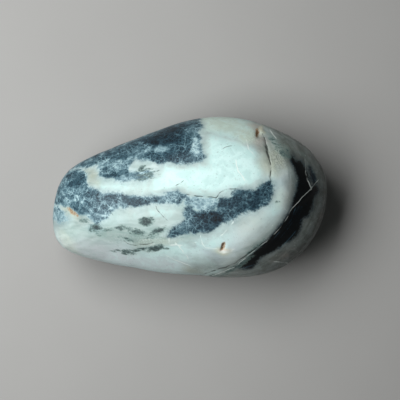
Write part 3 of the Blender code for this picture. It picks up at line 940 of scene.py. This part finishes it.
def pale_stone(graph, grain):
    """Translucent grey-green stone with opaque white bodies, streaks and washes of colour, painted
    shade at the broad end and painted light along the top and bottom rims.
    """
    flank = graph.value("flank")
    whiteness_and_rim_light = graph.value("white_and_rim_light")
    broad = graph.clouds(length=24.0, warp=0.4)
    patches = graph.clouds(length=5.0, detail=4.0, roughness=0.55, warp=0.7)
    patchy = graph.ease(patches, 0.3, 0.6, low=0.5)
    streaks = graph.streaks(length=11.0, breadth=3.2)
    calm = graph.ease(flank, 0.0, 1.0, low=0.6, high=0.25)
    calm = graph.times(calm, graph.ease(whiteness_and_rim_light, 0.0, 0.25, low=1.0, high=0.35))
    pale = graph.mix(graph.ease(broad, 0.35, 0.65), DULL_STONE, CLEAR_STONE)
    pale = graph.mix(graph.times(graph.ease(streaks, 0.42, 0.66), calm), pale, PALE_STREAK)
    pale = graph.mix(graph.times(graph.ease(streaks, 0.5, 0.3), calm), pale, DIM_STREAK)
    for name, tint in (("green", GREEN_TINT), ("blue", BLUE_TINT)):
        pale = graph.mix(graph.times(graph.value(name), patchy), pale, tint)

    # White stone, and painted light along the top and bottom rims
    white_and_rim_light = graph.ease(graph.math("ADD", whiteness_and_rim_light, graph.centred(patches, 0.9)), 0.2, 0.85)
    white_and_rim_light = graph.times(white_and_rim_light, graph.ease(whiteness_and_rim_light, 0.0, 0.15))
    pale = graph.mix(white_and_rim_light, pale, graph.mix(graph.ease(patches, 0.4, 0.62), WHITE_STONE, WHITE_CLOUD))
    for name, tint in (("lilac", LILAC_TINT), ("cream", CREAM_TINT), ("pink", PINK_TINT)):
        pale = graph.mix(graph.times(graph.value(name), patchy), pale, tint)

    drifts = graph.clouds(length=15.0, detail=4.0, roughness=0.6, stretch=(0.6, 1.0, 1.4), warp=1.2)
    drifts = graph.ease(drifts, 0.47, 0.62, high=0.75)
    pale = graph.mix(graph.times(drifts, flank), pale, FLANK_DRIFT)
    seams = graph.times(graph.ease(graph.net(length=21.0, sway=17.0), 0.018, 0.0, high=0.75), flank)
    seams = graph.times(seams, graph.ease(graph.clouds(length=12.0, detail=2.0), 0.42, 0.58))
    pale = graph.mix(seams, pale, FLANK_SEAM)

    # Grey stone at the broad end and the grey washes, partly painted shade, darker still towards the
    # far rim
    smoke_and_shade = graph.math("MAXIMUM", graph.value("smoky_shaded_end"), graph.value("smoke_and_shade_wash"))
    smoke_and_shade = graph.times(smoke_and_shade, graph.ease(patches, 0.28, 0.72, low=1.0, high=0.72))
    murk_and_shade = graph.mix(graph.ease(streaks, 0.35, 0.65), SHADED_THICK_SMOKE, SHADED_THIN_SMOKE)
    murk_and_shade = graph.mix(graph.ease(graph.value("rim_shade_depth"), 8.0, 22.0), murk_and_shade, PAINTED_RIM_SHADE)
    pale = graph.mix(smoke_and_shade, pale, murk_and_shade)
    # Haze beside the crescent, partly painted shade of the broad end
    pale = graph.mix(graph.times(graph.value("crescent_haze_and_shade"), 0.75), pale, CRESCENT_HAZE_AND_SHADE)

    pale = graph.mix(graph.ease(grain, 0.42, 0.24, high=0.5), pale, GREY_GRAIN)
    crackle = graph.ease(graph.net(length=1.5, sway=1.6), 0.14, 0.0, high=0.6)
    pale = graph.mix(graph.times(crackle, graph.value("crackle")), pale, CRACKLE_LINE)
    return graph.mix(graph.ease(grain, 0.62, 0.8, high=0.5), pale, PALE_GRAIN)


def dark_stone(graph, felt, grain):
    """The colour of the dark bodies, and how much of the pale stone they cover."""
    depth = graph.value("dark_depth")
    edge = graph.value("dark_edge")
    solid = graph.ease(depth, 0.85, 1.15)
    mottle = graph.times(graph.centred(felt, 1.0), graph.ease(solid, 0.0, 1.0, low=1.6, high=0.8))

    threads = graph.ease(graph.net(length=3.6, sway=3.4), 0.09, 0.0)
    fine_threads = graph.ease(graph.net(length=1.7, sway=2.0), 0.14, 0.0, high=0.6)
    threads = graph.math("MAXIMUM", threads, fine_threads)
    gathered = graph.ease(graph.clouds(length=8.0, detail=2.0), 0.38, 0.6, low=0.25)
    threads = graph.times(threads, gathered)
    threads = graph.times(threads, graph.ease(solid, 0.0, 1.0, low=0.38, high=0.08))

    shade = graph.math("ADD", mottle, depth)
    shade = graph.math("MINIMUM", shade, graph.ease(solid, 0.0, 1.0, low=0.84, high=1.1))
    shade = graph.math("ADD", shade, graph.centred(grain, 0.55))
    seams = graph.ease(graph.streaks(length=9.0, breadth=1.6), 0.58, 0.72, high=0.34)
    for paler in (threads, graph.times(seams, solid), graph.times(graph.value("island"), 0.5)):
        shade = graph.math("SUBTRACT", shade, paler)
    shade = graph.math("ADD", shade, graph.ease(edge, -1.4, 1.2, low=-0.3, high=0.0))

    ragged = graph.math("MULTIPLY_ADD", mottle, 2.4, edge)
    ragged = graph.math("ADD", ragged, graph.centred(grain, 2.2))
    haze = graph.ease(ragged, -3.4, 0.5, high=0.4)
    haze = graph.times(haze, graph.ease(solid, 0.0, 1.0, low=1.0, high=0.4))
    cover = graph.math("MAXIMUM", haze, graph.ease(ragged, -1.7, 0.7))
    return graph.ramp(shade, DARK_RAMP), cover


def jade_material():
    material = bpy.data.materials.new("jade")
    graph = Graph(material)
    felt = graph.clouds(length=4.0, detail=4.0, roughness=0.6, stretch=(0.8, 1.0, 1.0), warp=0.6)
    grain = graph.clouds(length=1.1, roughness=0.6)
    dark, cover = dark_stone(graph, felt, grain)
    colour = graph.mix(cover, pale_stone(graph, grain), dark)

    wisps = graph.clouds(length=1.9, detail=4.0, roughness=0.65, stretch=(0.5, 1.0, 1.0), warp=0.8)
    mark = graph.math("ADD", graph.value("small_mark"), graph.centred(wisps, 1.8))
    mark = graph.math("ADD", mark, graph.centred(grain, 1.2))
    mark = graph.times(mark, graph.ease(graph.value("small_mark"), 0.05, 0.35))
    colour = graph.mix(graph.ease(mark, 0.0, 0.7, high=0.95), colour, graph.ramp(mark, MARK_RAMP))

    vein = broken_line(graph, "vein", softness=0.8, length=6.0)
    colour = graph.mix(graph.times(vein, 0.75), colour, VEIN_LINE)
    crack = broken_line(graph, "crack", softness=0.6, length=4.0)
    colour = graph.mix(graph.times(crack, 0.85), colour, CRACK_AND_FISSURE_SHADE_LINE)

    rust = graph.math("ADD", graph.value("rust"), graph.centred(grain, 1.8))
    rust = graph.times(rust, graph.ease(graph.value("rust"), 0.05, 0.3))
    colour = graph.mix(graph.ease(rust, 0.1, 0.6, high=0.8), colour, RUST_HALO)
    colour = graph.mix(graph.ease(rust, 0.6, 1.0, high=0.85), colour, RUST_HEART)
    graph.join(graph.shader.inputs["Base Color"], colour)

    rough = graph.ease(felt, 0.3, 0.7, low=0.42, high=0.5)
    rough = graph.math("MULTIPLY_ADD", rust, 0.3, rough)
    graph.join(graph.shader.inputs["Roughness"], rough)

    skin = graph.clouds(length=0.8)
    normal = graph.bump(skin, SKIN_DEPTH)
    normal = graph.bump(graph.times(crack, -1.0), CRACK_DEPTH, normal)
    graph.join(graph.shader.inputs["Normal"], normal)

    for name, value in POLISH:
        graph.shader.inputs[name].default_value = value
    return material


def floor_material():
    material = bpy.data.materials.new("studio_floor")
    graph = Graph(material)
    mottle = graph.clouds(length=60.0, detail=2.0)
    graph.join(graph.shader.inputs["Base Color"], graph.mix(mottle, *FLOOR_TONES))
    graph.shader.inputs["Roughness"].default_value = FLOOR_ROUGHNESS
    return material


def studio_floor():
    """A plain pale floor, which is left out of the visual model."""
    bpy.ops.mesh.primitive_plane_add(size=FLOOR_SIZE * MM, location=(0.0, 0.0, 0.0))
    floor = bpy.context.object
    floor.name = "studio_floor"
    floor.data.materials.append(floor_material())


def key_light():
    """A soft box that faces the stone, with its length level."""
    data = bpy.data.lights.new("key_light", "AREA")
    data.shape = "RECTANGLE"
    data.size = KEY_LENGTH * MM
    data.size_y = KEY_BREADTH * MM
    data.energy = KEY_WATTS
    light = bpy.data.objects.new("key_light", data)
    aim = Vector(KEY_DIRECTION).normalized()
    light.location = (aim * KEY_DISTANCE + Vector((0.0, 0.0, WIDEST_LEVEL))) * MM
    light.rotation_euler = aim.to_track_quat("Z", "Y").to_euler()
    bpy.context.scene.collection.objects.link(light)


def studio():
    studio_floor()
    key_light()
    world = bpy.data.worlds.new("studio_air")
    world.use_nodes = True
    background = world.node_tree.nodes["Background"]
    background.inputs["Color"].default_value = (1.0, 1.0, 1.0, 1.0)
    background.inputs["Strength"].default_value = AIR_STRENGTH
    bpy.context.scene.world = world
    bpy.context.scene.view_settings.view_transform = "Standard"


def camera():
    """Looks straight down, with the photograph's up along +Y and its right along +X."""
    data = bpy.data.cameras.new("camera")
    data.lens = LENS
    data.sensor_width = SENSOR
    view = bpy.data.objects.new("camera", data)
    breadth = PICTURE_PIXELS * PIXEL
    distance = breadth * LENS / SENSOR
    across = (PICTURE_PIXELS / 2.0 - PHOTO_MIDDLE[0]) * PIXEL
    up = (PHOTO_MIDDLE[1] - PICTURE_PIXELS / 2.0) * PIXEL
    view.location = Vector((across, up, WIDEST_LEVEL + distance)) * MM
    bpy.context.scene.collection.objects.link(view)
    bpy.context.scene.camera = view


camera()
stone = stone_surface()
stone.data.materials.append(jade_material())
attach(stone, "root")
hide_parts(NODE)
studio()
